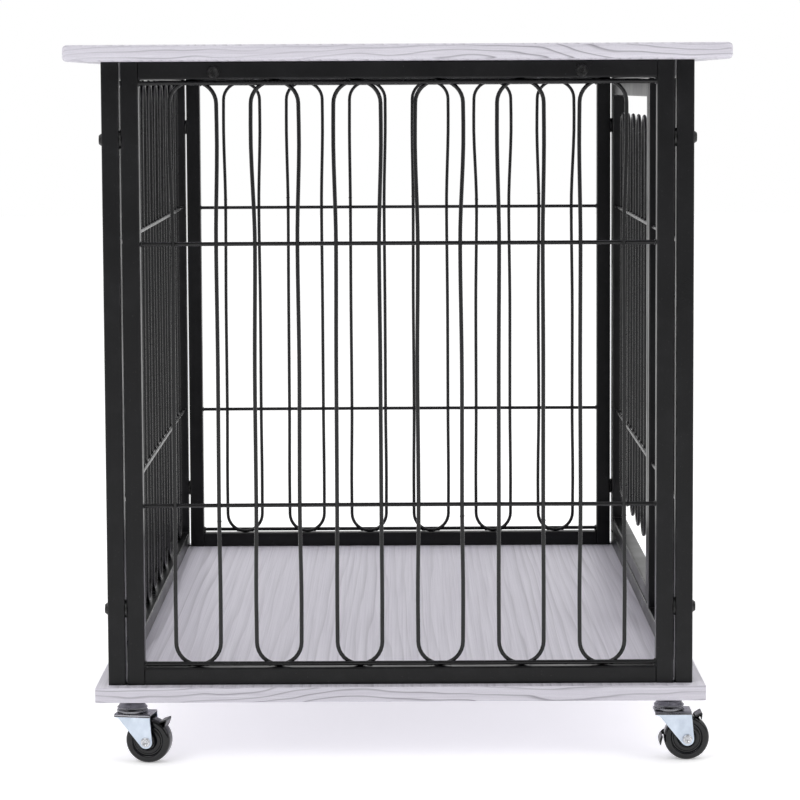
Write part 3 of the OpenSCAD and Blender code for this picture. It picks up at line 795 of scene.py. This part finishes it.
for node in ("corner_bolts", "top_bracket_bolts", "corner_rivet_nuts"):
    dress(node, OXIDE, 0.25 * MM, 25)
for node in ("hinge_frame_leaves", "hinge_door_leaves", "latch_plate", "latch_keeper", "top_brackets"):
    dress(node, COAT, 0.35 * MM)
for node in (
    "hinge_pins", "top_bracket_nuts", "top_bracket_screws", "base_bolts", "base_weld_nuts",
    "caster_tee_nuts",
):
    dress(node, HARDWARE_ZINC, 0.2 * MM, 25)
dress("latch_bolt", LATCH_STEEL, 0.5 * MM)

# ---- casters ----


def round_outline(points, radius, steps=5):
    """An outline with its corners rounded; radius is one value or one for each corner."""
    out = []
    n = len(points)
    for i, p in enumerate(points):
        p = Vector(p)
        before, after = Vector(points[i - 1]), Vector(points[(i + 1) % n])
        r = radius[i] if isinstance(radius, (list, tuple)) else radius
        a, b = (before - p), (after - p)
        cut = min(r, a.length * 0.49, b.length * 0.49)
        start, end = p + a.normalized() * cut, p + b.normalized() * cut
        for k in range(steps + 1):
            t = k / steps
            out.append(tuple(start * (1 - t) ** 2 + p * 2 * t * (1 - t) + end * t ** 2))
    return out


def arc(cx, cz, r, start, end, steps=14):
    out = []
    for k in range(steps + 1):
        t = math.radians(start + (end - start) * k / steps)
        out.append((cx + r * math.cos(t), cz + r * math.sin(t)))
    return out


TRAIL = 17 * MM
AXLE_Z = size("rear_left_caster_wheel").z / 2
FORK_HALF = size("rear_left_caster_fork").y / 2
FORK_T = 1.8 * MM
CROWN_TOP = 49.5 * MM
BOSS_R = 6.5 * MM
BEND_R = 3 * MM
STEM = Vector((0, 0, 0))
AXLE = Vector((TRAIL, 0, AXLE_Z))


def in_metres(points):
    return [(a * MM, b * MM) for a, b in points]


def caster_place(name, turned):
    """The caster's frame: its stem on Z, its wheel trailing towards +X."""
    centre = middle(name + "_caster_mount")
    return Matrix.Translation((centre.x, centre.y, 0)) @ Matrix.Rotation(math.radians(turned), 4, "Z")


def fork_shape():
    """A pressed fork: two legs and a crown in one bent sheet, and the lower race on the crown."""
    shape = Shape()
    back, front = -14.6 * MM, 21.3 * MM
    seam = CROWN_TOP - BEND_R
    left = (-10.2 * MM, 45.2 * MM)
    sharp = 0.01 * MM
    outline = round_outline(
        [(front, seam), (back, seam), left, arc(TRAIL, AXLE_Z, BOSS_R, 219, 219, 1)[0]],
        [sharp, sharp, 3 * MM, sharp],
    )
    outline += arc(TRAIL, AXLE_Z, BOSS_R, 226, 365)
    for side in (-1, 1):
        near = side * (FORK_HALF - FORK_T / 2) - FORK_T / 2
        shape.plate(outline, lambda u, v, w, near=near: Vector((u, near + w, v)), FORK_T)
    # The crown's bend and flat top take slot 1, the dark race material: a painted reflection that draws the
    # zinc crown dark where it reflects dark.
    outer = arc(FORK_HALF - BEND_R, CROWN_TOP - BEND_R, BEND_R, 0, 90, 8)
    inner = arc(FORK_HALF - BEND_R, CROWN_TOP - BEND_R, BEND_R - FORK_T, 0, 90, 8)
    section = outer + [(-y, z) for y, z in reversed(outer)]
    section += [(-y, z) for y, z in inner] + list(reversed(inner))
    stations = [back, back + 0.5 * MM, front - 0.5 * MM, front]
    shape.skin([[Vector((x, y, z)) for y, z in section] for x in stations], slot=1)
    lower_race = [
        (4.2, 49.2), (13.2, 49.2), (14.9, 49.9), (15.3, 50.9), (15.2, 51.9), (14.4, 52.2), (13.2, 51.6),
        (9.0, 51.2), (4.2, 51.2),
    ]
    shape.lathe(STEM, Z, in_metres(lower_race), slot=1)
    return shape


def mount_shape():
    """Stem collar, dished upper race and the kingpin's riveted head under the crown."""
    shape = Shape()
    race = [
        (4.1, 55.2), (10, 55.2), (12.6, 54.0), (14.5, 53.7), (15.0, 54.1), (14.9, 54.8), (13.9, 55.6),
        (12.9, 57.0), (12.3, 58.4), (11.6, 59.0), (10.6, 58.9), (9.4, 58.2), (7.6, 58.4), (7.0, 59.2),
        (7.0, 61.6), (6.7, 62.0), (4, 62.0), (0, 62.0),
    ]
    shape.lathe(STEM, Z, in_metres(race))
    kingpin = [
        (0, 44.3), (4.6, 44.5), (5.8, 45.2), (6.0, 46.2), (5.6, 47.0), (4.0, 47.1), (4.0, 55.4), (0, 55.4),
    ]
    shape.lathe(STEM, Z, in_metres(kingpin), sides=32)
    return shape


def wheel_shape():
    """A solid wheel: crowned tread, raised rim, ring grooves in both faces and a hub."""
    shape = Shape()
    half = [
        (3.1, 8.7), (6.0, 8.7), (6.4, 8.3), (6.9, 7.6), (8.6, 7.5), (9.3, 7.9), (10.2, 8.0), (12.4, 8.0),
        (13.0, 7.6), (13.4, 6.9), (14.6, 6.8), (15.1, 7.5), (15.7, 8.2), (16.4, 8.4), (19.4, 8.4),
        (20.3, 8.1), (21.3, 7.3), (21.9, 6.3), (22.2, 4.6), (22.25, 2.2),
    ]
    profile = half + [(22.25, 0)] + [(r, -h) for r, h in reversed(half)]
    shape.lathe(AXLE, Y, in_metres(profile), sides=96)
    return shape


def axle_shape():
    """A hollow rivet: a rolled head on each leg with a dimple in it."""
    shape = Shape()
    reach = FORK_HALF / MM
    head = [
        (0, 0.7), (1.3, 0.6), (1.9, 1.0), (2.5, 1.8), (3.3, 2.0), (4.1, 1.7), (4.7, 1.0), (4.9, 0.3),
        (4.7, 0),
    ]
    profile = [(r, reach + h) for r, h in head] + [(3.0, reach - 0.2)]
    profile += [(3.0, -reach + 0.2)] + [(r, -reach - h) for r, h in reversed(head)]
    shape.lathe(AXLE, Y, in_metres(profile), sides=40)
    return shape


def brake_shape(turn, claw):
    """The rocker: a plate behind the wheel with a folded pedal and a claw reaching over the tread.
    turn is how far it is tipped about the axle."""
    shape = Shape()
    out, sheet = 9.85 * MM, 1.0 * MM
    cos_turn, sin_turn = math.cos(math.radians(turn)), math.sin(math.radians(turn))

    def at(u, v, w):
        return Vector((TRAIL + u * cos_turn - v * sin_turn, w, AXLE_Z + u * sin_turn + v * cos_turn))

    def fold(points, radius):
        outline = round_outline(in_metres(points), radius * MM, 3)
        shape.plate(outline, lambda u, v, w: at(u, v, -out + w), 2 * out - 0.2 * MM)

    plate = [
        (6, -1), (8.5, 4), (11.4, 10), (14.8, 18.5), (15.3, 24.4), (14.4, 25.5), (8.3, 21.8), (2, 6.2),
    ]
    if claw:
        plate += [
            (-12, 5.9), (-21.9, 5.4), (-25.2, 2), (-26.9, -2.5), (-26.3, -7.0), (-25.3, -6.8),
            (-23.8, -3), (-22.9, 0.4), (-12, -3), (0, -6),
        ]
    else:
        plate += [(-4.2, 4.4), (-6, 0), (-4.2, -4.4), (0, -6)]
    plate = round_outline(in_metres(plate + [(4.2, -4.4)]), 1.4 * MM, 4)
    shape.plate(plate, lambda u, v, w: at(u, v, out - sheet + w), sheet)
    fold([(8.2, 21.9), (8.9, 20.9), (14.7, 24.2), (14.2, 25.5)], 0.35)
    fold([(14.0, 18.8), (14.8, 18.5), (15.3, 24.5), (14.4, 24.8)], 0.3)
    if claw:
        hook = [
            (-24.2, 3.1), (-25.5, 1.6), (-27.0, -2.5), (-26.4, -7.1), (-25.4, -6.8), (-24.7, -3),
            (-23.5, 1.2),
        ]
        fold(hook, 0.4)
    return shape


def build_caster(name, turned, brake=None):
    place = caster_place(name, turned)
    swivel, part = name + "_swivel", name + "_caster"
    mount_shape().build(
        part + "_race_and_kingpin", [RACE_AND_CROWN_PAINTED_REFLECTION], "root", [part + "_mount"], "race_black", place, sharp=30
    )
    fork_shape().build(
        part + "_pressed_fork", [FORK_ZINC, RACE_AND_CROWN_PAINTED_REFLECTION], swivel, [part + "_fork"], "zinc_sheet", place,
        sharp=40, bevel=0.3 * MM,
    )
    axle_shape().build(
        part + "_hollow_rivet", [HARDWARE_ZINC], swivel, [part + "_axle"], "zinc_hardware", place, sharp=40
    )
    wheel_shape().build(
        part + "_grooved_wheel", [WHEEL], name + "_wheel", [part + "_wheel"], "wheel_black", place, sharp=50
    )
    if brake:
        brake_shape(*brake).build(
            part + "_brake_rocker", [BRAKE], name + "_brake", [part + "_brake"], "brake_black", place,
            sharp=40, bevel=0.25 * MM,
        )


build_caster("front_left", -10, brake=(-12, False))
build_caster("front_right", 0, brake=(0, True))
build_caster("rear_left", 0)
build_caster("rear_right", 0)

# ---- floor and light ----


FLOOR_REACH = 12
FLOOR_GLOW = 0.32


def make_floor():
    """A white floor just under the wheels, which glows a little so that it stays white."""
    mesh = bpy.data.meshes.new("floor")
    corners = [(x * FLOOR_REACH, y * FLOOR_REACH, 0) for x, y in ((-1, -1), (1, -1), (1, 1), (-1, 1))]
    mesh.from_pydata(corners, [], [(0, 1, 2, 3)])
    floor = new_object("floor", mesh)
    floor.location.z = -0.05 * MM
    look = Look("floor_white", (0.97, 0.97, 0.97), 0.8, specular=0.0)
    grain = look.noise((6, 6, 6))
    look.set_color(look.mix(look.ramp(grain, 0.3, 0.7), (0.965, 0.965, 0.965), (0.975, 0.975, 0.975)))
    look.shader.inputs["Emission Color"].default_value = (1, 1, 1, 1)
    look.shader.inputs["Emission Strength"].default_value = FLOOR_GLOW
    mesh.materials.append(look.material)


def area_light(name, place, target, width, height, power):
    data = bpy.data.lights.new(name, "AREA")
    data.shape = "RECTANGLE"
    data.size = width
    data.size_y = height
    data.energy = power
    lamp = new_object(name, data)
    lamp.location = place
    direction = Vector(target) - Vector(place)
    lamp.rotation_euler = direction.to_track_quat("-Z", "Y").to_euler()


def make_light():
    """A white room that lights the -Y end more dimly and looks white all round, and three soft lamps."""
    world = bpy.data.worlds.new("studio")
    world.use_nodes = True
    tree = world.node_tree
    background = tree.nodes["Background"]
    background.inputs["Color"].default_value = (1, 1, 1, 1)
    way = tree.nodes.new("ShaderNodeTexCoord")
    split = tree.nodes.new("ShaderNodeSeparateXYZ")
    room = tree.nodes.new("ShaderNodeMapRange")
    room.interpolation_type = "SMOOTHSTEP"
    room.inputs["From Min"].default_value = -0.9
    room.inputs["From Max"].default_value = 0.1
    room.inputs["To Min"].default_value = 0.15
    room.inputs["To Max"].default_value = 1.0
    tree.links.new(way.outputs["Generated"], split.inputs["Vector"])
    tree.links.new(split.outputs["Y"], room.inputs["Value"])
    path = tree.nodes.new("ShaderNodeLightPath")
    seen = tree.nodes.new("ShaderNodeMath")
    seen.operation = "MAXIMUM"
    tree.links.new(room.outputs["Result"], seen.inputs[0])
    tree.links.new(path.outputs["Is Camera Ray"], seen.inputs[1])
    tree.links.new(seen.outputs["Value"], background.inputs["Strength"])
    bpy.context.scene.world = world
    area_light("key", (-1.6, -2.6, 2.4), (0, 0, 0.4), width=1.6, height=1.6, power=28)
    area_light("fill", (2.2, -1.8, 1.6), (0, 0, 0.35), width=1.4, height=1.8, power=14)
    area_light("top", (0, 0.4, 3.0), (0, 0, 0.6), width=2.4, height=2.4, power=12)


make_floor()
make_light()
bpy.context.scene.view_settings.view_transform = "Standard"

bpy.context.view_layer.update()
